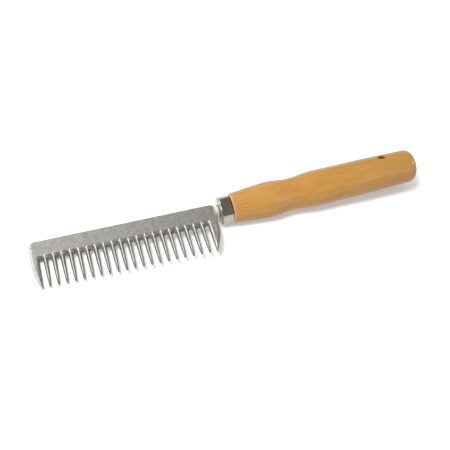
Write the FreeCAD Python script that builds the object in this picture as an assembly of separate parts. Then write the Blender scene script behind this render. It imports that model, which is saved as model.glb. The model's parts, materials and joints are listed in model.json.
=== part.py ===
"""Cast grooming comb on a turned wooden handle, in millimetres.

The comb is modelled as it lies on a table: the far edge of the comb head and
the fattest ring of the handle touch Z = 0.  X runs along the handle from the
comb to the butt, and Y points from the tooth tips to the spine.

Every piece is first built in the tool frame: origin on the handle's axis at
the front of the ferrule, X along the handle, Z square to the comb's face.
"""
import FreeCAD, Part

import math
import os

V = FreeCAD.Vector

# Comb head.  u runs along the spine from the far edge, v from tooth tip to spine.
HEAD_LENGTH = 100.2
HEAD_HEIGHT = 30.4
SPINE_RISE = 0.6
HEAD_THICKNESS = 3.2
TOOTH_COUNT = 20
TOOTH_PITCH = 4.4
FIRST_TOOTH_U = 7.6
SLOT_ROOT_V = 17.5
SLOT_WIDTH = 2.1
SCOOP_LENGTH = 2.6
SCOOP_CLEARANCE = 0.1
RIDGE_WIDTH = 0.36
EDGE_THICKNESS = 0.5
TIP_WIDTH = 0.75
TIP_DEPTH = 0.8
TAPER_POWER = 0.45
FAR_CORNER_R = 3.2
NEAR_CORNER_R = 2.8
NEAR_SIDE_LEAN = -0.7
EDGE_ROUND = 1.45

# Guard teeth: the outer edge sweeps in from full width to the tip.
GUARD_REACH = 0.5
GUARD_INNER_SHARE = 0.35
FAR_SWEEP_V = 20.2
FAR_SWEEP = 3.6
FAR_SWEEP_POWER = 2.6
NEAR_SWEEP_V = 17.0
NEAR_SWEEP = 5.0
NEAR_SWEEP_POWER = 2.4
CREST_SHARE = 0.45
ROUND_SHARE = 0.9

# Where the handle's axis leaves the head, and the small set between the two.
AXIS_U = 102.3
AXIS_V = 25.8
HEAD_SET_DEG = 2.4

# Neck and tang, turned about the handle's axis.
NECK_START_X = -2.7
NECK_START_R = 1.4
BEAD_R = 3.3
BEAD_LENGTH = 1.0
GROOVE_R = 2.6
TANG_END_R = 2.1
TANG_LENGTH = 34.0
TANG_NOSE = 1.2

# Ferrule.
FERRULE_R = 7.5
FERRULE_LENGTH = 7.0
FERRULE_WALL = 0.55
SHOULDER_R = 1.1
FERRULE_HOLE_R = 3.7

# Handle.
TANG_HOLE_R = 3.1
TANG_HOLE_DEPTH = 37.0
HANDLE_LENGTH = 113.9
HANDLE_START_R = 8.05
START_CHAMFER = 0.5
CREST_X = 27.4
CREST_R = 9.75
WAIST_X = 40.6
WAIST_R = 8.68
SWELL_X = 59.6
SWELL_R = 9.8
BUTT_R = 9.05
BUTT_X = 108.5
BUTT_FACE_R = 5.0
BUTT_DOME = 0.7
BUTT_SHOULDER_SHARE = 0.66
BUTT_SHOULDER_DROP = 1.25

# Radius at stations along the handle between the named ones.
GRIP_STATIONS = [(17.6, 9.0)]
DIP_STATIONS = [(31.4, 9.6), (36.4, 8.92)]
RISE_STATIONS = [(46.1, 9.05), (51.6, 9.7)]
TAIL_STATIONS = [(79.6, 9.67)]
START_SLOPE = 0.11
CREST_SLOPE = 0.05
BUTT_SLOPE = -0.02

# Hanging hole through the handle near the butt.
HANG_HOLE_R = 1.75
HANG_HOLE_X = 94.9
HANG_HOLE_TURN_DEG = 22.0
COUNTERSINK_R = 2.5
COUNTERSINK_DEPTH = 0.7
CUTTER_CLEARANCE = 3.0

# How finely the curved tooth shapes are cut.
TOOTH_SECTIONS = 7
EDGE_STEPS = 4
FLAT = 1e-6

HALF_T = HEAD_THICKNESS / 2
HALF_EDGE = EDGE_THICKNESS / 2
HALF_RIDGE = RIDGE_WIDTH / 2
HALF_SLOT = SLOT_WIDTH / 2
TOOTH_HALF_W = TOOTH_PITCH / 2 - HALF_SLOT
SCOOP_TOP_V = SLOT_ROOT_V + SCOOP_LENGTH
FIRST_SLOT_U = FIRST_TOOTH_U - TOOTH_PITCH / 2
SLOT_COUNT = TOOTH_COUNT + 1
LAST_SLOT_U = FIRST_SLOT_U + TOOTH_COUNT * TOOTH_PITCH


def section(points, v):
    """Closed wire in the plane v = constant from (u, z) points."""
    corners = [V(u, v, z) for u, z in points]
    return Part.makePolygon(corners + corners[:1])


def taper(v, tip, root):
    """Tooth size at height v: narrows slowly below the root and fastest close to the tip."""
    share = max(0.0, min(1.0, v / SLOT_ROOT_V))
    return tip + (root - tip) * share ** TAPER_POWER


def tooth_depth(v):
    return taper(v, TIP_DEPTH / 2, HALF_T)


def tooth_half_width(v):
    return taper(v, TIP_WIDTH / 2, TOOTH_HALF_W)


def section_heights(tip_v):
    """Heights of the tooth sections, closer together towards the tip."""
    run = SCOOP_TOP_V - tip_v
    steps = TOOTH_SECTIONS - 1
    return [tip_v + run * (1 - i / steps) ** 2 for i in range(TOOTH_SECTIONS)]


def middle_tooth(centre):
    """Tooth with a sharp ridge along each face and thin edges at the slots."""
    wires = []
    for v in section_heights(0.0):
        half = tooth_half_width(v)
        depth = tooth_depth(v)
        front = [(centre - half, HALF_EDGE), (centre - HALF_RIDGE, depth),
                 (centre + HALF_RIDGE, depth), (centre + half, HALF_EDGE)]
        back = [(u, -z) for u, z in reversed(front)]
        wires.append(section(front + back, v))
    return Part.makeLoft(wires, True, True)


def guard_tooth(outer, slot_centre, sweep_v, sweep, power):
    """End tooth: a ridge beside its slot, a flat face, and a rounded, swept outer edge."""
    side = 1.0 if outer > slot_centre else -1.0
    wires = []
    for v in section_heights(-GUARD_REACH):
        fall = max(0.0, (sweep_v - v) / (sweep_v + GUARD_REACH))
        edge = outer - side * sweep * fall ** power
        narrowing = GUARD_INNER_SHARE * (TOOTH_HALF_W - tooth_half_width(v))
        inner = slot_centre + side * (HALF_SLOT + narrowing)
        depth = tooth_depth(v)
        width = max(abs(edge - inner), TIP_WIDTH)
        crest = inner + side * min(TOOTH_HALF_W - HALF_RIDGE, width * CREST_SHARE)
        round_r = min(EDGE_ROUND, width * CREST_SHARE, depth * ROUND_SHARE)
        edge = inner + side * width
        front = [(inner, HALF_EDGE), (crest, depth)]
        for i in range(EDGE_STEPS + 1):
            angle = math.pi / 2 * (1 - i / EDGE_STEPS)
            front.append((edge - side * round_r * (1 - math.cos(angle)),
                          depth - round_r * (1 - math.sin(angle))))
        back = [(u, -z) for u, z in reversed(front)]
        wires.append(section(front + back, v))
    return Part.makeLoft(wires, True, True)


def spine_outline():
    """Plate above the slot roots, with two rounded corners at the spine."""
    base = SLOT_ROOT_V - HALF_SLOT
    near_top = HEAD_LENGTH - NEAR_SIDE_LEAN
    far = FAR_CORNER_R
    near = NEAR_CORNER_R
    far_top = HEAD_HEIGHT
    high = HEAD_HEIGHT + SPINE_RISE
    diag = math.sqrt(0.5)
    edges = [
        Part.LineSegment(V(0, base, 0), V(0, far_top - far, 0)),
        Part.Arc(V(0, far_top - far, 0),
                 V(far - far * diag, far_top - far + far * diag, 0), V(far, far_top, 0)),
        Part.LineSegment(V(far, far_top, 0), V(near_top - near, high, 0)),
        Part.Arc(V(near_top - near, high, 0),
                 V(near_top - near + near * diag, high - near + near * diag, 0),
                 V(near_top, high - near, 0)),
        Part.LineSegment(V(near_top, high - near, 0), V(HEAD_LENGTH, base, 0)),
        Part.LineSegment(V(HEAD_LENGTH, base, 0), V(0, base, 0)),
    ]
    return Part.Wire([edge.toShape() for edge in edges])


def spine_plate():
    plate = Part.Face(spine_outline()).extrude(V(0, 0, HEAD_THICKNESS))
    plate.translate(V(0, 0, -HALF_T))
    base = SLOT_ROOT_V - HALF_SLOT
    rim = []
    for edge in plate.Edges:
        ends = [vertex.Point for vertex in edge.Vertexes]
        flat = abs(abs(ends[0].z) - HALF_T) < FLAT and abs(ends[0].z - ends[-1].z) < FLAT
        at_base = all(abs(p.y - base) < FLAT for p in ends)
        if flat and not at_base:
            rim.append(edge)
    return plate.makeFillet(EDGE_ROUND, rim)


def slot_cutter(centre):
    """Round-ended slot between two teeth, open towards the tips."""
    root = SLOT_ROOT_V - HALF_SLOT
    body = Part.makeBox(SLOT_WIDTH, root, HEAD_THICKNESS * 2,
                        V(centre - HALF_SLOT, 0, -HEAD_THICKNESS))
    end = Part.makeCylinder(HALF_SLOT, HEAD_THICKNESS * 2, V(centre, root, -HEAD_THICKNESS), V(0, 0, 1))
    return body.fuse(end)


def scoop_cutter(centre, side):
    """Ramped hollow above a slot, from the face down to the thin web."""
    half_top = TOOTH_PITCH / 2 - HALF_RIDGE
    above = HALF_T + SCOOP_CLEARANCE
    deep = [(centre - half_top, above), (centre - HALF_SLOT, HALF_EDGE),
            (centre + HALF_SLOT, HALF_EDGE), (centre + half_top, above)]
    shallow = [(centre - half_top, above), (centre - HALF_SLOT, HALF_T),
               (centre + HALF_SLOT, HALF_T), (centre + half_top, above)]
    wires = []
    for points, v in ((deep, SLOT_ROOT_V - SLOT_WIDTH), (deep, SLOT_ROOT_V), (shallow, SCOOP_TOP_V)):
        wires.append(section([(u, side * z) for u, z in points], v))
    return Part.makeLoft(wires, True, True)


def turned(profile_edges):
    """Solid of revolution about the handle's axis from a closed profile."""
    face = Part.Face(Part.Wire([edge.toShape() for edge in profile_edges]))
    return face.revolve(V(0, 0, 0), V(1, 0, 0), 360)


def line(x1, r1, x2, r2):
    return Part.LineSegment(V(x1, r1, 0), V(x2, r2, 0))


def arc(x1, r1, x2, r2, x3, r3):
    return Part.Arc(V(x1, r1, 0), V(x2, r2, 0), V(x3, r3, 0))


def neck_and_tang():
    """Short neck of two rounded beads, then the tapered tang that enters the wood."""
    groove_x = -BEAD_LENGTH
    first_x = groove_x - BEAD_LENGTH
    shaft_end = TANG_LENGTH - TANG_NOSE
    edges = [
        line(NECK_START_X, 0, NECK_START_X, NECK_START_R),
        line(NECK_START_X, NECK_START_R, first_x, GROOVE_R),
        arc(first_x, GROOVE_R, first_x + BEAD_LENGTH / 2, BEAD_R, groove_x, GROOVE_R),
        arc(groove_x, GROOVE_R, groove_x + BEAD_LENGTH / 2, BEAD_R, 0, GROOVE_R),
        line(0, GROOVE_R, shaft_end, TANG_END_R),
        line(shaft_end, TANG_END_R, TANG_LENGTH, TANG_END_R - TANG_NOSE),
        line(TANG_LENGTH, TANG_END_R - TANG_NOSE, TANG_LENGTH, 0),
        line(TANG_LENGTH, 0, NECK_START_X, 0),
    ]
    return turned(edges)


def to_tool_frame(shape):
    """Carry the flat comb from its own (u, v) frame to the tool frame."""
    moved = shape.copy()
    moved.translate(V(-AXIS_U, -AXIS_V, 0))
    moved.rotate(V(0, 0, 0), V(0, 0, 1), -HEAD_SET_DEG)
    return moved


def comb_head():
    centres = [FIRST_SLOT_U + i * TOOTH_PITCH for i in range(SLOT_COUNT)]
    cutters = [slot_cutter(centre) for centre in centres]
    cutters += [scoop_cutter(centre, side) for centre in centres for side in (1, -1)]
    plate = spine_plate().cut(cutters)
    teeth = [middle_tooth(FIRST_TOOTH_U + i * TOOTH_PITCH) for i in range(TOOTH_COUNT)]
    teeth.append(guard_tooth(0.0, FIRST_SLOT_U, FAR_SWEEP_V, FAR_SWEEP, FAR_SWEEP_POWER))
    teeth.append(guard_tooth(HEAD_LENGTH, LAST_SLOT_U, NEAR_SWEEP_V, NEAR_SWEEP, NEAR_SWEEP_POWER))
    comb = to_tool_frame(plate.fuse(teeth))
    return comb.fuse(neck_and_tang()).removeSplitter()


def ferrule():
    """Pressed cap: thin wall, rounded shoulder, and a hole for the tang."""
    inner_r = FERRULE_R - FERRULE_WALL
    face_r = FERRULE_R - SHOULDER_R
    bend = SHOULDER_R - FERRULE_WALL
    diag = math.sqrt(0.5)
    edges = [
        line(0, FERRULE_HOLE_R, 0, face_r),
        arc(0, face_r, SHOULDER_R * (1 - diag), face_r + SHOULDER_R * diag, SHOULDER_R, FERRULE_R),
        line(SHOULDER_R, FERRULE_R, FERRULE_LENGTH, FERRULE_R),
        line(FERRULE_LENGTH, FERRULE_R, FERRULE_LENGTH, inner_r),
        line(FERRULE_LENGTH, inner_r, SHOULDER_R, inner_r),
        arc(SHOULDER_R, inner_r, SHOULDER_R - bend * diag, face_r + bend * diag, FERRULE_WALL, face_r),
        line(FERRULE_WALL, face_r, FERRULE_WALL, FERRULE_HOLE_R),
        line(FERRULE_WALL, FERRULE_HOLE_R, 0, FERRULE_HOLE_R),
    ]
    return turned(edges)


def spline(points, start_slope, end_slope):
    curve = Part.BSplineCurve()
    curve.interpolate([V(x, r, 0) for x, r in points],
                      InitialTangent=V(1, start_slope, 0), FinalTangent=V(1, end_slope, 0))
    return curve


def handle_blank():
    """Turned handle with its tenon, tang hole and rounded butt."""
    tenon_r = FERRULE_R - FERRULE_WALL
    face_r = FERRULE_R - SHOULDER_R
    bend = SHOULDER_R - FERRULE_WALL
    diag = math.sqrt(0.5)
    start_x = FERRULE_LENGTH + START_CHAMFER
    crest = (CREST_X, CREST_R)
    grip = [(start_x, HANDLE_START_R)] + GRIP_STATIONS + [crest]
    body = [crest] + DIP_STATIONS + [(WAIST_X, WAIST_R)] + RISE_STATIONS
    body += [(SWELL_X, SWELL_R)] + TAIL_STATIONS + [(BUTT_X, BUTT_R)]
    butt_end = HANDLE_LENGTH - BUTT_DOME
    shoulder_x = BUTT_X + (butt_end - BUTT_X) * BUTT_SHOULDER_SHARE
    dome_r = (BUTT_FACE_R ** 2 + BUTT_DOME ** 2) / (2 * BUTT_DOME)
    dome_mid_x = HANDLE_LENGTH - dome_r + math.sqrt(dome_r ** 2 - (BUTT_FACE_R / 2) ** 2)
    edges = [
        line(FERRULE_WALL, TANG_HOLE_R, FERRULE_WALL, face_r),
        arc(FERRULE_WALL, face_r, SHOULDER_R - bend * diag, face_r + bend * diag, SHOULDER_R, tenon_r),
        line(SHOULDER_R, tenon_r, FERRULE_LENGTH, tenon_r),
        line(FERRULE_LENGTH, tenon_r, FERRULE_LENGTH, HANDLE_START_R - START_CHAMFER),
        line(FERRULE_LENGTH, HANDLE_START_R - START_CHAMFER, start_x, HANDLE_START_R),
        spline(grip, START_SLOPE, CREST_SLOPE),
        spline(body, -CREST_SLOPE, BUTT_SLOPE),
        arc(BUTT_X, BUTT_R, shoulder_x, BUTT_R - BUTT_SHOULDER_DROP, butt_end, BUTT_FACE_R),
        arc(butt_end, BUTT_FACE_R, dome_mid_x, BUTT_FACE_R / 2, HANDLE_LENGTH, 0),
        line(HANDLE_LENGTH, 0, TANG_HOLE_DEPTH + TANG_HOLE_R / 2, 0),
        line(TANG_HOLE_DEPTH + TANG_HOLE_R / 2, 0, TANG_HOLE_DEPTH, TANG_HOLE_R),
        line(TANG_HOLE_DEPTH, TANG_HOLE_R, FERRULE_WALL, TANG_HOLE_R),
    ]
    return turned(edges)


def hang_hole_cutter():
    """Hole across the handle with a small countersink at each mouth."""
    surface_r = handle_radius_at_hole()
    reach = surface_r + CUTTER_CLEARANCE
    hole = Part.makeCylinder(HANG_HOLE_R, 2 * reach, V(0, 0, -reach), V(0, 0, 1))
    rise = COUNTERSINK_R - HANG_HOLE_R
    sink_r = COUNTERSINK_R + rise * 2
    sink_z = surface_r - COUNTERSINK_DEPTH
    for side in (1, -1):
        sink = Part.makeCone(HANG_HOLE_R, sink_r, (sink_r - HANG_HOLE_R) * COUNTERSINK_DEPTH / rise,
                             V(0, 0, side * sink_z), V(0, 0, side))
        hole = hole.fuse(sink)
    hole.rotate(V(0, 0, 0), V(1, 0, 0), -HANG_HOLE_TURN_DEG)
    hole.translate(V(HANG_HOLE_X, 0, 0))
    return hole


def handle_radius_at_hole():
    """Radius of the turned handle where the hanging hole crosses it."""
    line_up = Part.makeLine(V(HANG_HOLE_X, 0, 0), V(HANG_HOLE_X, 2 * SWELL_R, 0))
    inside = handle_blank().common(line_up)
    return inside.BoundBox.YMax


def handle():
    return handle_blank().cut(hang_hole_cutter())


def tang_adhesive():
    """Set glue that fills the hole in the wood around and beyond the tang."""
    shaft_end = TANG_LENGTH - TANG_NOSE
    start_r = GROOVE_R + (TANG_END_R - GROOVE_R) * FERRULE_WALL / shaft_end
    edges = [
        line(FERRULE_WALL, start_r, FERRULE_WALL, TANG_HOLE_R),
        line(FERRULE_WALL, TANG_HOLE_R, TANG_HOLE_DEPTH, TANG_HOLE_R),
        line(TANG_HOLE_DEPTH, TANG_HOLE_R, TANG_HOLE_DEPTH + TANG_HOLE_R / 2, 0),
        line(TANG_HOLE_DEPTH + TANG_HOLE_R / 2, 0, TANG_LENGTH, 0),
        line(TANG_LENGTH, 0, TANG_LENGTH, TANG_END_R - TANG_NOSE),
        line(TANG_LENGTH, TANG_END_R - TANG_NOSE, shaft_end, TANG_END_R),
        line(shaft_end, TANG_END_R, FERRULE_WALL, start_r),
    ]
    return turned(edges)


def laid_down(pieces):
    """Tip the tool until the comb's far edge and the handle's crest meet Z = 0."""
    far_edge_x = -AXIS_U * math.cos(math.radians(HEAD_SET_DEG))
    dip = math.degrees(math.atan2(CREST_R - HALF_T, CREST_X - far_edge_x))
    for shape in pieces.values():
        shape.rotate(V(0, 0, 0), V(0, 1, 0), -dip)
    box = Part.makeCompound(list(pieces.values())).optimalBoundingBox(True, False)
    shift = V(-(box.XMin + box.XMax) / 2, -(box.YMin + box.YMax) / 2, -box.ZMin)
    for shape in pieces.values():
        shape.translate(shift)
    return dip, shift


def main():
    pieces = {
        "comb_head": comb_head(),
        "ferrule": ferrule(),
        "handle": handle(),
        "tang_adhesive": tang_adhesive(),
    }
    hole_r = handle_radius_at_hole()
    dip, shift = laid_down(pieces)
    os.makedirs("parts", exist_ok=True)
    for name, shape in pieces.items():
        shape.exportStep("parts/" + name + ".step")
        print(name, "solids", len(shape.Solids), "valid", shape.isValid(),
              "volume %.0f" % shape.Volume)
    mark = Part.makeLine(V(HANG_HOLE_X, 0, 0), V(HANG_HOLE_X, 0, 1))
    mark.rotate(V(0, 0, 0), V(1, 0, 0), -HANG_HOLE_TURN_DEG)
    mark.rotate(V(0, 0, 0), V(0, 1, 0), -dip)
    mark.translate(shift)
    centre = mark.Vertexes[0].Point
    print("dip %.3f deg, shift %s" % (dip, shift))
    print("hanging hole centre %s, axis %s" % (centre, mark.Vertexes[1].Point - centre))
    print("handle radius at the hanging hole %.3f" % hole_r)


main()
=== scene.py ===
"""Looks of the grooming comb: cast aluminium head, plated ferrule and lacquered wooden handle."""

import json
import math

import bmesh
import bpy
import numpy as np
from mathutils import Matrix, Vector, noise


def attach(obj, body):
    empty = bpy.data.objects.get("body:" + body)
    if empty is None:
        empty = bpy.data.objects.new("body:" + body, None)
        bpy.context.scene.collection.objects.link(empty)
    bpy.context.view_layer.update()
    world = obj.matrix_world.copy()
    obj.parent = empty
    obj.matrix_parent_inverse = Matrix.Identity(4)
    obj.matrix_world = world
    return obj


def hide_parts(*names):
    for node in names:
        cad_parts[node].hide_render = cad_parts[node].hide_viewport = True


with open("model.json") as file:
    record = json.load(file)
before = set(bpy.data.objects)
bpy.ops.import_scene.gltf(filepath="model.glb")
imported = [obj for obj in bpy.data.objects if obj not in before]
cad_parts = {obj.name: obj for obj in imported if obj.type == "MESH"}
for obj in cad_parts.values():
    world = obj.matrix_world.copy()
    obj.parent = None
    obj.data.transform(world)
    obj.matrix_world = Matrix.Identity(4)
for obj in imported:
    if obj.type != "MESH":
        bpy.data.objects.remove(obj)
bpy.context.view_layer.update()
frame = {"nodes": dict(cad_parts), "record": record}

MM = 0.001

# The comb head in its own frame, in millimetres: u along the spine from the far
# edge, v from the tooth tips to the spine, z square to the face.
HEAD_LENGTH = 100.2
HEAD_HEIGHT = 30.4
SPINE_RISE = 0.6
HALF_T = 1.6
TOOTH_COUNT = 20
TOOTH_PITCH = 4.4
FIRST_TOOTH_U = 7.6
SLOT_ROOT_V = 17.5
HALF_SLOT = 1.05
TOOTH_HALF_W = TOOTH_PITCH / 2 - HALF_SLOT
SLOT_BASE_V = SLOT_ROOT_V - HALF_SLOT
FAR_CORNER_R = 3.2
NEAR_CORNER_R = 2.8
NEAR_SIDE_LEAN = -0.7
FIRST_SLOT_U = FIRST_TOOTH_U - TOOTH_PITCH / 2
LAST_SLOT_U = FIRST_SLOT_U + TOOTH_COUNT * TOOTH_PITCH

# Softened cast surface: hollow above each slot, ridge crests, thin edges and rim, tooth
# tips, and slight waves.
HOLLOW_FLOOR_V = 18.2
HOLLOW_TOP_V = 20.1
HOLLOW_WANDER = 0.6
FACE_DROP = 0.07
CREST_START_V = 19.7
CREST_FADE_V = 20.7
CREST_SOFTNESS = 0.28
CREST_SHARE = 0.24
EDGE_HALF = 0.3
EDGE_ROLL = 0.24
RIM_ROLL = 1.55
TAPER_POWER = 0.45
TIP_HALF_W = 0.385
TIP_HALF_T = 0.4
TIP_ROUND = 0.8
WAVINESS = 0.035
WAVE_FADE = 1.0
WAVE_BROAD = (3.1, 2.3)
WAVE_FINE = (1.2, 1.0)
WAVE_FINE_LAYER = 4.0
WAVE_FINE_SHARE = 0.5

# Where the casting is rubbed bright and where it is painted darker: dull oxide with painted
# shade in the hollows, on the flanks and at the tips, and dull oxide with a painted dark
# reflection along the spine and the outline. Strengths are shares from 0 to 1. Widths and
# heights are in millimetres, and the flanks' places are shares of the way from a ridge's
# crest to the tooth's edge. Pairs say where a change starts and is complete.
RIM_POLISH = 0.4
RIM_POLISH_WIDTH = (0.5, RIM_ROLL)
# Painted dark reflection, with dull oxide, at the outline and along the spine's edge.
RIM_DARK = 0.6
RIM_DARK_WIDTH = 0.45
SPINE_DARK = 0.7
SPINE_DARK_WIDTH = (0.7, RIM_ROLL)
# Painted shade, with dull oxide, in the hollows, on the flanks and at the tips.
HOLLOW_OXIDE_AND_SHADE = 0.68
HOLLOW_FLANK = (0.2, 0.75)
FLANK_OXIDE_AND_SHADE = (0.3, 0.7)
FLANK_OXIDE_AND_SHADE_V = (0.5, 6.0)
TIP_OXIDE_AND_SHADE = 0.8
TIP_FADE_V = 6.0
NECK_POLISH = 0.7

# Bright line rubbed down the broad guard's face: its place and width as shares of the
# guard's width, its strength, and the heights where it fades in and out.
RUB_SHARE = 0.62
RUB_WIDTH_SHARE = 0.06
RUB_POLISH = 0.8
RUB_LOW_V = (10.0, 13.0)
RUB_HIGH_V = (18.0, 20.0)

# Guard teeth.
GUARD_REACH = 0.45
FAR_SWEEP_V = 20.2
FAR_SWEEP = 3.6
FAR_SWEEP_POWER = 2.6
NEAR_SWEEP_V = 17.0
NEAR_SWEEP = 5.0
NEAR_SWEEP_POWER = 2.4
GUARD_TIP_W = 1.0
GUARD_INNER_SHARE = 0.35
GUARD_RIDGE_SHARE = 0.45

# Neck and tang, in tool millimetres.
NECK_START_X = -2.65
NECK_START_R = 1.35
GROOVE_R = 2.5
BEAD_R = 3.26
BEAD_COUNT = 2
BEAD_LENGTH = 1.0
BEAD_STEPS = 10
BEAD_FULLNESS = 0.8
TANG_END_R = 2.05
TANG_LENGTH = 33.9
TANG_NOSE = 1.2

# Mesh fineness: grid columns as shares from a crest to an edge, in millimetres in from the
# rim, and as a count round a slot's end; grid rows; a tooth's rings; a turned shape's
# sides; and how close points are merged, in metres.
FLANK_STEPS = [0.07, 0.16, 0.28, 0.44, 0.62, 0.78, 0.88, 0.95, 0.985, 1.0]
RIM_STEPS = [0.0, 0.02, 0.08, 0.18, 0.33, 0.55, 0.8, 1.1, 1.4, 1.7]
SLOT_ARCS = 10
GUARD_FACE_STEPS = (0.25, 0.5, 0.75)
HEM_STEPS = (0.0, 0.07, 0.18, 0.35, 0.6, 1.0)
HEM_V = SLOT_ROOT_V + 0.6
HOLLOW_ROWS = 20
FACE_ROWS = 7
TOOTH_RINGS = 26
TIP_CROWDING = 1.7
TURN_SEGMENTS = 72
MERGE_DISTANCE = 2e-6
TOLERANCE = 1e-9

# How the head sits on the handle's axis, how the tool lies, and where its wood starts, in
# millimetres and degrees.
AXIS_U = 102.3
AXIS_V = 25.8
HEAD_SET_DEG = 2.4
LYING_TILT_DEG = 3.598
HANG_HOLE_X = 94.9
WOOD_START_X = 7.0

# Colours, each pair from dark to light where it varies.
CAST_FACE = (0.31, 0.315, 0.298, 1), (0.55, 0.555, 0.525, 1)
CAST_POLISHED = (0.95, 0.94, 0.89, 1)
# Dull oxide, also the colour of the painted shade and painted dark reflection on the head.
CAST_OXIDE_AND_SHADE = (0.15, 0.145, 0.12, 1)
NICKEL = (0.39, 0.38, 0.33, 1), (0.46, 0.445, 0.39, 1)
SEAM_DIRT = (0.08, 0.06, 0.04, 1)
WOOD = (0.39, 0.196, 0.040, 1), (0.48, 0.25, 0.055, 1)
WOOD_FIBRE = (0.28, 0.13, 0.028, 1)
WOOD_CLOUD = (0.54, 0.30, 0.10, 1)
WOOD_PORE = (0.24, 0.105, 0.028, 1)
WOOD_TAIL = (0.30, 0.15, 0.032, 1)
# Painted highlight where the wood starts.
WOOD_EDGE_HIGHLIGHT = (0.60, 0.42, 0.21, 1)
# Painted shade inside the hanging hole.
BORE_SHADE = (0.13, 0.05, 0.015, 1)
RESIN = (0.42, 0.29, 0.12, 1), (0.60, 0.45, 0.22, 1)

# Share of metal in the neck's satin finish, and where that finish starts before the
# ferrule and how fast, in millimetres.
NECK_METALLIC = 0.62
NECK_SATIN_FROM = 2.3
NECK_SATIN_BLEND = 0.5

# Start and end of other changes, in millimetres: the dark seam before the wood, the darker
# tail and the painted highlight of the front edge, both after the wood's front, and the
# painted shade in the bore out from its wall.
SEAM_BEFORE_WOOD = (0.9, 0.2)
TAIL_DARKENING = (45, 95)
EDGE_HIGHLIGHT_SPAN = (0.4, 0.9)
BORE_MARGIN = (0.05, 0.25)

# Camera, in metres and degrees, with its lens and sensor in millimetres.
CAMERA_TARGET = (-0.00516, -0.00185, 0.008)
CAMERA_AZIMUTH = -21.144
CAMERA_ELEVATION = 49.822
CAMERA_ROLL = 4.902
CAMERA_DISTANCE = 0.53144
CAMERA_LENS = 80.0
SENSOR_WIDTH = 36.0
NEAR_CLIP = 0.01

# Soft boxes: azimuth and elevation in degrees, distance, width and height in metres,
# and power in watts. The first group lights surfaces and isn't seen in reflections.
# The second is seen only in reflections.
SURFACE_LIGHTS = {
    "key": (-60.0, 68.0, 1.2, 0.3, 0.3, 15.5),
    "fill": (150.0, 84.0, 1.2, 1.8, 1.8, 9.0),
}
REFLECTED_LIGHTS = {
    "cove": (185.0, 7.5, 1.4, 4.0, 0.36, 5.5),
    "window": (216.0, 38.0, 1.3, 1.3, 0.9, 8.0),
    "sparkle": (36.0, 24.0, 1.2, 0.14, 0.14, 3.2),
    "glint": (-85.0, 32.0, 1.2, 0.5, 0.5, 4.0),
    "rim": (85.0, 20.0, 1.2, 0.25, 0.25, 4.0),
}
WORLD_COLOUR = (1.0, 0.9, 0.76, 1)
WORLD_STRENGTH = 0.27

# Table top: half its side in metres, its colour, and the light that it gives off itself.
FLOOR_HALF_SIDE = 3.0
FLOOR_COLOUR = (0.56, 0.56, 0.56, 1)
FLOOR_GLOW_COLOUR = (0.99, 1.0, 1.03, 1)
FLOOR_GLOW = 0.36


def smoothstep(low, high, value):
    """0 below low, 1 above high, and a smooth change between."""
    share = np.clip((value - low) / (high - low), 0.0, 1.0)
    return share * share * (3 - 2 * share)


def taper(v, tip, root):
    """Tooth size at height v: narrows slowly below the root and fastest close to the tip."""
    share = np.clip(v / SLOT_BASE_V, 0.0, 1.0)
    return tip + (root - tip) * share ** TAPER_POWER


def rolled(distance, radius):
    """Share of full height left at a distance inside a rounded edge."""
    share = np.clip(distance / radius, 0.0, 1.0)
    return np.sqrt(1 - (1 - share) ** 2)


def flank(q, crest_h):
    """Half thickness at share q of the way from a ridge's crest to the tooth's edge."""
    soft = CREST_SOFTNESS / TOOTH_HALF_W
    fall = (np.sqrt(q * q + soft * soft) - soft) / (math.sqrt(1 + soft * soft) - soft)
    return crest_h - (crest_h - np.minimum(EDGE_HALF, crest_h)) * fall


def spine_top(u):
    """Height of the spine's edge, which rises a little towards the handle."""
    return HEAD_HEIGHT + SPINE_RISE * u / HEAD_LENGTH


def side_rise(v):
    """Share of the way up the near side's straight run."""
    run = HEAD_HEIGHT + SPINE_RISE - NEAR_CORNER_R - SLOT_BASE_V
    return np.clip((v - SLOT_BASE_V) / run, 0.0, 1.0)


def near_side(v):
    """Place of the head's edge on the handle's side at height v."""
    return HEAD_LENGTH - NEAR_SIDE_LEAN * side_rise(v)


def column_top(u):
    """Height of the outline above u, with its two rounded corners."""
    top = float(spine_top(u))
    if u < FAR_CORNER_R:
        return top - FAR_CORNER_R + math.sqrt(max(0.0, FAR_CORNER_R ** 2 - (FAR_CORNER_R - u) ** 2))
    start = HEAD_LENGTH - NEAR_SIDE_LEAN - NEAR_CORNER_R
    if u > start:
        return top - NEAR_CORNER_R + math.sqrt(max(0.0, NEAR_CORNER_R ** 2 - (u - start) ** 2))
    return top


def rim_distance(u, v):
    """Distance from the outline of the plate, in from its sides, top and corners."""
    top = spine_top(u)
    near_u = near_side(v)
    distance = np.minimum(np.minimum(u, near_u - u), top - v)
    far_in = (u < FAR_CORNER_R) & (v > top - FAR_CORNER_R)
    far_d = FAR_CORNER_R - np.hypot(FAR_CORNER_R - u, v - (top - FAR_CORNER_R))
    start = near_u - NEAR_CORNER_R
    near_in = (u > start) & (v > top - NEAR_CORNER_R)
    near_d = NEAR_CORNER_R - np.hypot(u - start, v - (top - NEAR_CORNER_R))
    distance = np.where(far_in, far_d, distance)
    return np.maximum(np.where(near_in, near_d, distance), 0.0)


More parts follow.
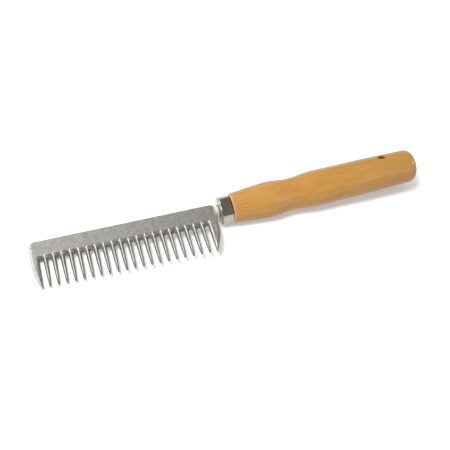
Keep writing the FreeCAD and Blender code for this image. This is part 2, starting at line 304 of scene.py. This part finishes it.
class Skin:
    """Grid patches of the head's front and back faces, joined into one closed mesh."""

    def __init__(self):
        self.points = []
        self.faces = []
        self.polish = []
        self.hollow = []

    def add_sheet(self, u, v, half, side, polish, hollow):
        """One face of a patch: side is 1 for the front and -1 for the back."""
        rows, columns = u.shape
        first = len(self.points)
        self.points += list(zip(u.ravel(), v.ravel(), side * half.ravel()))
        self.polish += list(polish.ravel())
        self.hollow += list(hollow.ravel())
        for r in range(rows - 1):
            for c in range(columns - 1):
                a = first + r * columns + c
                corners = (a, a + 1, a + columns + 1, a + columns)
                self.faces.append(corners if side > 0 else corners[::-1])

    def add_patch(self, u, v, half, polish, hollow):
        """Front and back of a patch that is half thick on each side of the middle plane."""
        for side in (1, -1):
            self.add_sheet(u, v, half, side, polish, hollow)


def cast_waviness(u, v):
    """Slight unevenness left by the sand of the mould, as a share of WAVINESS."""
    values = []
    for a, b in zip(u.ravel(), v.ravel()):
        broad = noise.noise(Vector((a / WAVE_BROAD[0], b / WAVE_BROAD[1], 0.0)))
        fine = noise.noise(Vector((a / WAVE_FINE[0], b / WAVE_FINE[1], WAVE_FINE_LAYER)))
        values.append(broad + WAVE_FINE_SHARE * fine)
    return np.array(values).reshape(u.shape)


def mirrored(steps):
    """Shares from -1 to 1 that are the same on both sides of the crest."""
    return [-s for s in reversed(steps)] + [0.0] + list(steps)


def upper_columns():
    """(u at the slot roots, u at the spine) of every column of the plate's grid."""
    far_crest = FIRST_SLOT_U - TOOTH_PITCH / 2
    halfway = far_crest - 0.5 * (far_crest - RIM_STEPS[-1])
    columns = RIM_STEPS + [halfway, far_crest]
    columns += [far_crest + s * TOOTH_HALF_W for s in FLANK_STEPS]
    for i in range(TOOTH_COUNT + 1):
        centre = FIRST_SLOT_U + i * TOOTH_PITCH
        for k in range(1, SLOT_ARCS):
            columns.append(centre - HALF_SLOT * math.cos(math.pi * k / SLOT_ARCS))
        if i < TOOTH_COUNT:
            tooth = centre + TOOTH_PITCH / 2
            columns += [tooth + s * TOOTH_HALF_W for s in mirrored(FLANK_STEPS)]
    near_crest = LAST_SLOT_U + TOOTH_PITCH / 2
    columns += [near_crest - s * TOOTH_HALF_W for s in reversed(FLANK_STEPS)] + [near_crest]
    face_end = HEAD_LENGTH - RIM_STEPS[-1]
    columns += [near_crest + (face_end - near_crest) * s for s in GUARD_FACE_STEPS]
    columns += [HEAD_LENGTH - d for d in reversed(RIM_STEPS)]
    base = np.array(columns)
    lean = np.clip((base - near_crest) / (HEAD_LENGTH - near_crest), 0.0, 1.0)
    return base, base - NEAR_SIDE_LEAN * lean


def slot_distance(u, v):
    """Distance from the nearest slot's middle line, and outside that slot's outline."""
    index = np.clip(np.round((u - FIRST_SLOT_U) / TOOTH_PITCH), 0, TOOTH_COUNT)
    across = np.abs(u - (FIRST_SLOT_U + index * TOOTH_PITCH))
    return across, np.maximum(np.hypot(across, np.maximum(v - SLOT_BASE_V, 0.0)) - HALF_SLOT, 0.0)


def plate(skin):
    """Everything above the slot roots, with a hollow over each slot."""
    base_u, top_u = upper_columns()
    v = plate_levels(base_u, np.array([column_top(u) for u in top_u]))
    u = base_u + (top_u - base_u) * side_rise(v)
    across, edge = slot_distance(u, v)
    q = (TOOTH_PITCH / 2 - across) / TOOTH_HALF_W
    face_h = HALF_T - FACE_DROP
    crest = np.exp(-(q / CREST_SHARE) ** 2)
    carved = np.where(q > 0, flank(np.clip(q, 0, 1), HALF_T), face_h + FACE_DROP * crest)
    unevenness = cast_waviness(u, v)
    fade = smoothstep(HOLLOW_FLOOR_V, HOLLOW_TOP_V, v + HOLLOW_WANDER * unevenness)
    crest_left = crest * (1 - smoothstep(CREST_START_V, CREST_FADE_V, v))
    half = carved * (1 - fade) + (face_h + FACE_DROP * crest_left) * fade
    half = half * rolled(edge, EDGE_ROLL)
    rim = rim_distance(u, v)
    half = half + WAVINESS * unevenness * rolled(edge, WAVE_FADE) * rolled(rim, WAVE_FADE)
    half = np.minimum(half, HALF_T) * rolled(rim, RIM_ROLL)
    half[-1] = 0.0
    half[:, 0] = 0.0
    half[:, -1] = 0.0
    half[0] = np.where(across[0] <= HALF_SLOT + TOLERANCE, 0.0, half[0])
    polish, hollow = plate_shade(u, v, q, rim, crest_left)
    skin.add_patch(u, v, half, polish, hollow)


def plate_levels(base_u, tops):
    """Heights of the plate's grid, from the slot roots past the hollows to the outline."""
    across, _ = slot_distance(base_u, np.full(base_u.shape, SLOT_BASE_V))
    inside = np.sqrt(np.maximum(HALF_SLOT ** 2 - across ** 2, 0.0))
    starts = SLOT_BASE_V + np.where(across < HALF_SLOT, inside, 0.0)
    rows = [starts + (HEM_V - starts) * t for t in HEM_STEPS]
    rows += [np.full(base_u.shape, v) for v in np.linspace(HEM_V, CREST_FADE_V, HOLLOW_ROWS + 1)[1:]]
    low_rim = tops - RIM_STEPS[-1]
    face_shares = np.linspace(0, 1, FACE_ROWS + 1)[1:-1]
    rows += [CREST_FADE_V + (low_rim - CREST_FADE_V) * t for t in face_shares]
    rows += [tops - d for d in reversed(RIM_STEPS)]
    return np.array(rows)


def plate_shade(u, v, q, rim, crest_left):
    """Polish, and dull oxide with painted shade, on the plate, from its ridges, hollows, sides and
    spine.
    """
    ridge = crest_left * smoothstep(FIRST_SLOT_U - HALF_SLOT, FIRST_SLOT_U, u)
    sides = np.minimum(u, near_side(v) - u)
    polish = np.maximum(ridge, RIM_POLISH * (1 - smoothstep(*RIM_POLISH_WIDTH, sides)))
    hollow = HOLLOW_OXIDE_AND_SHADE * (1 - smoothstep(SLOT_ROOT_V, HOLLOW_TOP_V, v)) * smoothstep(*HOLLOW_FLANK, q)
    spine = SPINE_DARK * (1 - smoothstep(*SPINE_DARK_WIDTH, spine_top(u) - v))
    return polish, np.maximum(np.maximum(hollow, rim_oxide_and_shade(rim)), spine)


def rim_oxide_and_shade(distance):
    """Dull oxide with a painted dark reflection close to the outline."""
    return RIM_DARK * (1 - smoothstep(0.0, RIM_DARK_WIDTH, distance))


def heights(tip_v):
    """Levels of a tooth's rings, closer together towards its tip."""
    shares = [(i / TOOTH_RINGS) ** TIP_CROWDING for i in range(TOOTH_RINGS + 1)]
    return np.array([tip_v + (SLOT_BASE_V - tip_v) * share for share in shares])


def tooth_shade(q, v):
    """Dull oxide with painted shade on a tooth: over its flanks, and all round it close to the tip."""
    flanks = smoothstep(*FLANK_OXIDE_AND_SHADE, q) * smoothstep(*FLANK_OXIDE_AND_SHADE_V, v)
    return np.maximum(flanks, TIP_OXIDE_AND_SHADE * (1 - smoothstep(0.0, TIP_FADE_V, v)))


def middle_tooth(skin, centre):
    """Tapered tooth with a ridge down the middle of each face."""
    s = np.array(mirrored(FLANK_STEPS))
    v = heights(0.0)[:, None]
    ends = rolled(v, TIP_ROUND)
    width = taper(v, TIP_HALF_W, TOOTH_HALF_W) * ends
    crest_h = taper(v, TIP_HALF_T, HALF_T) * ends
    u = centre + width * s
    level = np.broadcast_to(v, u.shape)
    q = np.broadcast_to(np.abs(s), u.shape)
    inward = (1 - q) * width
    half = flank(q, crest_h) * rolled(inward, EDGE_ROLL)
    wave = WAVINESS * cast_waviness(u, level) * rolled(inward, WAVE_FADE)
    half = half + wave * ends * (v / SLOT_BASE_V)
    half = np.minimum(half, crest_h)
    half[:, 0] = 0.0
    half[:, -1] = 0.0
    half[0] = 0.0
    polish = np.exp(-(q / CREST_SHARE) ** 2) * smoothstep(0.0, TIP_FADE_V, v)
    skin.add_patch(u, level, half, polish, tooth_shade(q, v))


def rub_mark(share, v):
    """Bright line rubbed down the broad guard beside its ridge."""
    line = np.exp(-((share - RUB_SHARE) / RUB_WIDTH_SHARE) ** 2)
    return RUB_POLISH * line * smoothstep(*RUB_LOW_V, v) * (1 - smoothstep(*RUB_HIGH_V, v))


def sweep_share(v, sweep_v, power):
    """Share of a guard tooth's sweep at height v: 0 at the slot's base and 1 at the tip."""
    fall = np.clip((sweep_v - v) / (sweep_v + GUARD_REACH), 0.0, 1.0)
    base_fall = ((sweep_v - SLOT_BASE_V) / (sweep_v + GUARD_REACH)) ** power
    return np.maximum(fall ** power - base_fall, 0.0) / (1 - base_fall)


def guard_columns(outer, slot_centre, side):
    """Columns of a guard tooth, as shares of the way from its slot to its outer edge."""
    base_u, _ = upper_columns()
    edge_u = slot_centre + side * HALF_SLOT
    picked = base_u[(base_u - edge_u) * side > -TOLERANCE]
    return (picked - edge_u) / (outer - edge_u)


def guard_tooth(skin, outer, slot_centre, sweep_v, sweep, power):
    """End tooth: rolled, swept outer edge, flat face, and a ridge beside its slot."""
    side = 1.0 if outer > slot_centre else -1.0
    share = guard_columns(outer, slot_centre, side)
    v = heights(-GUARD_REACH)[:, None]
    ends = rolled(v + GUARD_REACH, TIP_ROUND)
    swept = outer - side * sweep * sweep_share(v, sweep_v, power)
    narrowing = GUARD_INNER_SHARE * (TOOTH_HALF_W - taper(v, TIP_HALF_W, TOOTH_HALF_W))
    inner = slot_centre + side * (HALF_SLOT + narrowing)
    width = np.maximum(np.abs(swept - inner), GUARD_TIP_W)
    middle = inner + side * width / 2
    u = middle + side * (share - 0.5) * width * ends
    level = np.broadcast_to(v, u.shape)
    crest_h = taper(v, TIP_HALF_T, HALF_T) * ends
    inward = share * width
    outward = (1 - share) * width
    ridge_w = np.minimum(TOOTH_HALF_W, width * GUARD_RIDGE_SHARE)
    q = (ridge_w - inward) / ridge_w
    crest = np.exp(-(q / CREST_SHARE) ** 2)
    drop = FACE_DROP * crest_h / HALF_T
    half = np.where(q > 0, flank(np.clip(q, 0, 1), crest_h), crest_h - drop + drop * crest)
    half = half * rolled(inward * ends, EDGE_ROLL)
    wave = WAVINESS * cast_waviness(u, level) * ends
    half = half + wave * rolled(inward, WAVE_FADE) * rolled(outward, WAVE_FADE)
    half = np.minimum(half, crest_h) * rolled(outward, np.minimum(RIM_ROLL, width * GUARD_RIDGE_SHARE))
    half[0] = 0.0
    half[:, [0, -1]] = 0.0
    polish = RIM_POLISH * (1 - smoothstep(*RIM_POLISH_WIDTH, outward))
    if side > 0:
        polish = np.maximum(np.maximum(crest, polish), rub_mark(share, v))
    skin.add_patch(u, level, half, polish, np.maximum(tooth_shade(q, v), rim_oxide_and_shade(outward)))


def lying_matrices(hole):
    """Matrices from tool and from head millimetres to the frame in metres, set by the hanging hole."""
    tilt = Matrix.Rotation(math.radians(-LYING_TILT_DEG), 4, "Y")
    origin = Vector(hole["pos_m"]) - tilt @ Vector((HANG_HOLE_X * MM, 0, 0))
    tool = Matrix.Translation(origin) @ tilt @ Matrix.Scale(MM, 4)
    head_turn = Matrix.Rotation(math.radians(-HEAD_SET_DEG), 4, "Z")
    return tool, tool @ head_turn @ Matrix.Translation((-AXIS_U, -AXIS_V, 0))


def lathe(profile, segments):
    """Points and quads of a shape turned about X, from (x, r) points that start and end on it."""
    points = []
    for x, r in profile:
        for k in range(segments):
            angle = 2 * math.pi * k / segments
            points.append((x, r * math.cos(angle), r * math.sin(angle)))
    faces = []
    for i in range(len(profile) - 1):
        for k in range(segments):
            a = i * segments + k
            b = i * segments + (k + 1) % segments
            faces.append((a, b, b + segments, a + segments))
    return points, faces


def neck_profile():
    """Cone out of the plate, two rounded beads, then the tapered tang inside the wood."""
    beads_start = -BEAD_COUNT * BEAD_LENGTH
    points = [(NECK_START_X, 0.0), (NECK_START_X, NECK_START_R)]
    for i in range(BEAD_COUNT * BEAD_STEPS + 1):
        swell = abs(math.sin(math.pi * i / BEAD_STEPS)) ** BEAD_FULLNESS
        x = beads_start + i * BEAD_LENGTH / BEAD_STEPS
        points.append((x, GROOVE_R + (BEAD_R - GROOVE_R) * swell))
    points += [(TANG_LENGTH - TANG_NOSE, TANG_END_R), (TANG_LENGTH, TANG_END_R - TANG_NOSE)]
    return points + [(TANG_LENGTH, 0.0)]


def new_object(name, points, faces, matrix, floats):
    """Smooth mesh with its points carried by matrix and doubled points merged."""
    mesh = bpy.data.meshes.new(name)
    mesh.from_pydata([matrix @ Vector(p) for p in points], [], faces)
    for key, values in floats.items():
        attribute = mesh.attributes.new(key, "FLOAT", "POINT")
        attribute.data.foreach_set("value", values)
    bm = bmesh.new()
    bm.from_mesh(mesh)
    bmesh.ops.remove_doubles(bm, verts=bm.verts, dist=MERGE_DISTANCE)
    bmesh.ops.dissolve_degenerate(bm, edges=bm.edges, dist=MERGE_DISTANCE / 2)
    bmesh.ops.recalc_face_normals(bm, faces=bm.faces)
    bm.to_mesh(mesh)
    bm.free()
    mesh.shade_smooth()
    obj = bpy.data.objects.new(name, mesh)
    bpy.context.scene.collection.objects.link(obj)
    return obj


def comb_casting(head_matrix, tool_matrix):
    """Head, neck and tang as one casting."""
    skin = Skin()
    plate(skin)
    for i in range(TOOTH_COUNT):
        middle_tooth(skin, FIRST_TOOTH_U + i * TOOTH_PITCH)
    guard_tooth(skin, 0.0, FIRST_SLOT_U, FAR_SWEEP_V, FAR_SWEEP, FAR_SWEEP_POWER)
    guard_tooth(skin, HEAD_LENGTH, LAST_SLOT_U, NEAR_SWEEP_V, NEAR_SWEEP, NEAR_SWEEP_POWER)
    neck_points, neck_faces = lathe(neck_profile(), TURN_SEGMENTS)
    to_head = head_matrix.inverted() @ tool_matrix
    first = len(skin.points)
    skin.points += [tuple(to_head @ Vector(p)) for p in neck_points]
    skin.faces += [tuple(first + i for i in face) for face in neck_faces]
    skin.polish += [NECK_POLISH] * len(neck_points)
    skin.hollow += [0.0] * len(neck_points)
    return new_object("comb_casting", skin.points, skin.faces, head_matrix,
                      {"polish": skin.polish, "hollow": skin.hollow})


class Nodes:
    """Small helper to build a material's node tree."""

    def __init__(self, name):
        self.material = bpy.data.materials.new(name)
        self.material.use_nodes = True
        self.tree = self.material.node_tree
        self.shader = self.tree.nodes["Principled BSDF"]
        self.place = self.tree.nodes.new("ShaderNodeTexCoord").outputs["Object"]

    def add(self, kind, inputs=None, **settings):
        """New node with its settings, and its inputs set or linked."""
        node = self.tree.nodes.new(kind)
        for key, value in settings.items():
            setattr(node, key, value)
        for key, value in (inputs or {}).items():
            self.put(node.inputs[key], value)
        return node

    def put(self, socket, value):
        """Link the socket if value is another node's output, or else set it."""
        if isinstance(value, bpy.types.NodeSocket):
            self.tree.links.new(value, socket)
        else:
            socket.default_value = value

    def set(self, **values):
        """Inputs of the material's shader, with _ for each space in a name."""
        for key, value in values.items():
            self.put(self.shader.inputs[key.replace("_", " ")], value)

    def mapped(self, matrix, scale):
        """Object position turned into a piece's own frame and scaled, per metre."""
        turn = matrix.to_3x3().transposed().to_euler()
        turned = self.add("ShaderNodeMapping", {"Vector": self.place, "Rotation": turn})
        return self.add("ShaderNodeMapping", {"Vector": turned.outputs[0], "Scale": scale}).outputs[0]

    def along(self, matrix):
        """Distance along a piece's own X, measured from the scene's origin."""
        turned = self.mapped(matrix, (1.0, 1.0, 1.0))
        return self.add("ShaderNodeSeparateXYZ", {"Vector": turned}).outputs["X"]

    def piece_start(self, matrix):
        """The piece's origin on the scale that along() uses."""
        return (matrix.to_3x3().normalized().transposed() @ matrix.translation).x

    def off_axis(self, centre, axis):
        """Distance from the line through centre along axis."""
        offset = self.add("ShaderNodeVectorMath", operation="SUBTRACT")
        self.put(offset.inputs[0], self.place)
        self.put(offset.inputs[1], tuple(centre))
        across = self.add("ShaderNodeVectorMath", operation="CROSS_PRODUCT")
        self.put(across.inputs[0], offset.outputs[0])
        self.put(across.inputs[1], tuple(axis))
        length = self.add("ShaderNodeVectorMath", operation="LENGTH")
        self.put(length.inputs[0], across.outputs[0])
        return length.outputs["Value"]

    def noise(self, vector, scale, detail=3.0, roughness=0.55, distortion=0.0):
        inputs = {"Vector": vector, "Scale": scale, "Detail": detail,
                  "Roughness": roughness, "Distortion": distortion}
        return self.add("ShaderNodeTexNoise", inputs).outputs["Fac"]

    def ramp(self, value, low, high, start=0.0, end=1.0):
        """value from low to high mapped to start to end, held outside."""
        inputs = {"Value": value, "From Min": low, "From Max": high, "To Min": start, "To Max": end}
        return self.add("ShaderNodeMapRange", inputs).outputs["Result"]

    def mix(self, share, first, second):
        """Colour from first at share 0 to second at share 1, on the node's colour sockets."""
        node = self.add("ShaderNodeMix", data_type="RGBA")
        self.put(node.inputs["Factor"], share)
        self.put(node.inputs[6], first)
        self.put(node.inputs[7], second)
        return node.outputs[2]

    def math(self, operation, first, second=0.0):
        node = self.add("ShaderNodeMath", operation=operation)
        self.put(node.inputs[0], first)
        self.put(node.inputs[1], second)
        return node.outputs[0]

    def bump(self, height, strength, distance, normal=None):
        inputs = {"Height": height, "Strength": strength, "Distance": distance}
        if normal is not None:
            inputs["Normal"] = normal
        return self.add("ShaderNodeBump", inputs).outputs["Normal"]

    def attribute(self, name):
        return self.add("ShaderNodeAttribute", attribute_name=name).outputs["Fac"]


def cast_aluminium(tool_matrix):
    """Tumbled casting: grey mottled faces, bright ridges and rims, and dark oxide with painted shade in
    the hollows, on the flanks, at the tips and along the edges.
    """
    n = Nodes("cast_aluminium")
    patches = n.noise(n.place, 520.0, detail=4.0, roughness=0.7)
    grain = n.noise(n.place, 1500.0, detail=3.0, roughness=0.7)
    mottle = n.noise(n.place, 1100.0, detail=3.0, roughness=0.7)
    tone = n.math("ADD", n.math("MULTIPLY", patches, 0.6), n.math("MULTIPLY", grain, 0.4))
    face = n.mix(n.ramp(tone, 0.35, 0.65), *CAST_FACE)
    polish = n.math("MULTIPLY", n.attribute("polish"), n.ramp(patches, 0.25, 0.5, 0.75, 1.0))
    bright = n.mix(polish, face, CAST_POLISHED)
    # Painted shade: the hollow attribute darkens the hollows, flanks, tips, spine and outline towards
    # the oxide colour.
    oxide_and_shade_share = n.math("MULTIPLY", n.attribute("hollow"), n.ramp(mottle, 0.4, 0.62, 1.0, 0.25))
    n.set(Base_Color=n.mix(oxide_and_shade_share, bright, CAST_OXIDE_AND_SHADE))
    rough_face = n.ramp(grain, 0.3, 0.7, 0.42, 0.58)
    rough = n.math("SUBTRACT", rough_face, n.math("MULTIPLY", polish, 0.22))
    n.set(Roughness=n.math("ADD", rough, n.math("MULTIPLY", oxide_and_shade_share, 0.1)))
    neck = n.piece_start(tool_matrix) - NECK_SATIN_FROM * MM
    n.set(Metallic=n.ramp(n.along(tool_matrix), neck, neck + NECK_SATIN_BLEND * MM, 1.0, NECK_METALLIC))
    pits = n.bump(n.noise(n.place, 1500.0, detail=5.0, roughness=0.7), 0.35, 0.0002)
    n.set(Normal=n.bump(grain, 0.15, 0.0001, pits))
    return n.material


def plated_ferrule(tool_matrix):
    """Nickel plate with faint turning marks round it, dark where it meets the wood."""
    n = Nodes("plated_ferrule")
    rings = n.noise(n.mapped(tool_matrix, (9.0, 0.3, 0.3)), 900.0, detail=2.0)
    cloud = n.noise(n.place, 240.0, detail=3.0)
    base = n.mix(n.ramp(cloud, 0.35, 0.65), *NICKEL)
    wood_edge = n.piece_start(tool_matrix) + WOOD_START_X * MM
    seam_start, seam_end = (wood_edge - distance * MM for distance in SEAM_BEFORE_WOOD)
    seam = n.ramp(n.along(tool_matrix), seam_start, seam_end, 0.0, 0.7)
    n.set(Base_Color=n.mix(seam, base, SEAM_DIRT))
    n.set(Metallic=1.0, Roughness=n.ramp(rings, 0.3, 0.7, 0.13, 0.22))
    n.set(Normal=n.bump(rings, 0.06, 0.00005))
    return n.material


def lacquered_wood(tool_matrix, hole):
    """Honey-coloured hardwood: long grain, soft bands and fine pores under clear lacquer, darker
    towards the tail, with a painted highlight at its front edge and painted shade in the hole.
    """
    n = Nodes("lacquered_wood")
    along = n.mapped(tool_matrix, (0.05, 1.0, 1.0))
    bands = n.noise(along, 160.0, detail=3.0, roughness=0.5, distortion=0.4)
    fibres = n.noise(along, 1400.0, detail=4.0, roughness=0.6)
    pores = n.noise(n.mapped(tool_matrix, (0.12, 1.0, 1.0)), 3400.0, detail=1.0)
    cloud = n.noise(n.mapped(tool_matrix, (0.35, 1.0, 1.0)), 60.0, detail=2.0)
    base = n.mix(n.ramp(bands, 0.3, 0.7), *WOOD)
    base = n.mix(n.ramp(fibres, 0.38, 0.62, 0.0, 0.5), base, WOOD_FIBRE)
    base = n.mix(n.ramp(cloud, 0.4, 0.7, 0.0, 0.3), base, WOOD_CLOUD)
    base = n.mix(n.ramp(pores, 0.62, 0.75, 0.0, 0.35), base, WOOD_PORE)
    position = n.along(tool_matrix)
    start = n.piece_start(tool_matrix) + WOOD_START_X * MM
    tail_start, tail_end = (start + distance * MM for distance in TAIL_DARKENING)
    base = n.mix(n.ramp(position, tail_start, tail_end, 0.0, 0.5), base, WOOD_TAIL)
    # Painted highlight: a pale band where the wood starts.
    edge_start, edge_end = (start + distance * MM for distance in EDGE_HIGHLIGHT_SPAN)
    base = n.mix(n.ramp(position, edge_start, edge_end, 0.55, 0.0), base, WOOD_EDGE_HIGHLIGHT)
    # Painted shade inside the hanging hole, darkest at its wall.
    from_hole = n.off_axis(hole["pos_m"], hole["axis"])
    bore_r = hole["dims"]["r_mm"] * MM
    bore_start, bore_end = (bore_r + distance * MM for distance in BORE_MARGIN)
    base = n.mix(n.ramp(from_hole, bore_start, bore_end, 0.85, 0.0), base, BORE_SHADE)
    n.set(Base_Color=base, Roughness=n.ramp(fibres, 0.3, 0.7, 0.42, 0.52))
    n.set(Coat_Weight=0.3, Coat_Roughness=0.12, Specular_IOR_Level=0.3, Coat_IOR=1.5, Metallic=0.0)
    n.set(Normal=n.bump(fibres, 0.08, 0.0001))
    return n.material


def set_adhesive():
    """Amber resin, dull where it has set against the wood."""
    n = Nodes("set_adhesive")
    lumps = n.noise(n.place, 900.0, detail=3.0)
    n.set(Base_Color=n.mix(n.ramp(lumps, 0.3, 0.7), *RESIN))
    n.set(Roughness=n.ramp(lumps, 0.3, 0.7, 0.45, 0.7))
    n.set(Normal=n.bump(lumps, 0.3, 0.0003))
    return n.material


def paint(obj, material):
    obj.data.materials.clear()
    obj.data.materials.append(material)


def add_floor():
    """Plain pale table top that the comb lies on, with a little light of its own."""
    side = FLOOR_HALF_SIDE
    mesh = bpy.data.meshes.new("floor")
    corners = [(-side, -side, 0), (side, -side, 0), (side, side, 0), (-side, side, 0)]
    mesh.from_pydata(corners, [], [(0, 1, 2, 3)])
    floor = bpy.data.objects.new("floor", mesh)
    bpy.context.scene.collection.objects.link(floor)
    n = Nodes("pale_floor")
    n.set(Base_Color=FLOOR_COLOUR, Roughness=0.9, Specular_IOR_Level=0.0)
    n.set(Emission_Color=FLOOR_GLOW_COLOUR, Emission_Strength=FLOOR_GLOW)
    paint(floor, n.material)


def direction(azimuth, elevation):
    """Unit vector from the comb: azimuth 0 is towards -Y and grows towards +X."""
    a = math.radians(azimuth)
    e = math.radians(elevation)
    return Vector((math.sin(a) * math.cos(e), -math.cos(a) * math.cos(e), math.sin(e)))


def add_camera():
    data = bpy.data.cameras.new("camera")
    data.lens = CAMERA_LENS
    data.sensor_width = SENSOR_WIDTH
    data.clip_start = NEAR_CLIP
    camera = bpy.data.objects.new("camera", data)
    bpy.context.scene.collection.objects.link(camera)
    back = direction(CAMERA_AZIMUTH, CAMERA_ELEVATION)
    right = Vector((0, 0, 1)).cross(back).normalized()
    up = back.cross(right)
    turn = Matrix((right, up, back)).transposed().to_4x4()
    turn = turn @ Matrix.Rotation(math.radians(CAMERA_ROLL), 4, "Z")
    camera.matrix_world = Matrix.Translation(Vector(CAMERA_TARGET) + back * CAMERA_DISTANCE) @ turn
    bpy.context.scene.camera = camera


def add_softbox(name, azimuth, elevation, distance, width, height, power):
    data = bpy.data.lights.new(name, "AREA")
    data.shape = "RECTANGLE"
    data.size = width
    data.size_y = height
    data.energy = power
    light = bpy.data.objects.new(name, data)
    bpy.context.scene.collection.objects.link(light)
    back = direction(azimuth, elevation)
    turn = back.to_track_quat("Z", "Y").to_matrix().to_4x4()
    light.matrix_world = Matrix.Translation(back * distance) @ turn
    return light


def add_world():
    world = bpy.data.worlds.new("studio")
    world.use_nodes = True
    shade = world.node_tree.nodes["Background"]
    shade.inputs["Color"].default_value = WORLD_COLOUR
    shade.inputs["Strength"].default_value = WORLD_STRENGTH
    bpy.context.scene.world = world


def add_lights():
    """Soft boxes, each hidden either from reflections or from surfaces."""
    for name, setup in SURFACE_LIGHTS.items():
        add_softbox(name, *setup).visible_glossy = False
    for name, setup in REFLECTED_LIGHTS.items():
        add_softbox(name, *setup).visible_diffuse = False


def main():
    hole = frame["record"]["mounts"][0]
    tool_matrix, head_matrix = lying_matrices(hole)
    nodes = frame["nodes"]
    comb = comb_casting(head_matrix, tool_matrix)
    paint(comb, cast_aluminium(tool_matrix))
    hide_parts("comb_head")
    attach(comb, "root")
    paint(nodes["ferrule"], plated_ferrule(tool_matrix))
    paint(nodes["handle"], lacquered_wood(tool_matrix, hole))
    paint(nodes["tang_adhesive"], set_adhesive())
    add_floor()
    add_world()
    add_lights()
    add_camera()
    bpy.context.scene.view_settings.view_transform = "Standard"


main()
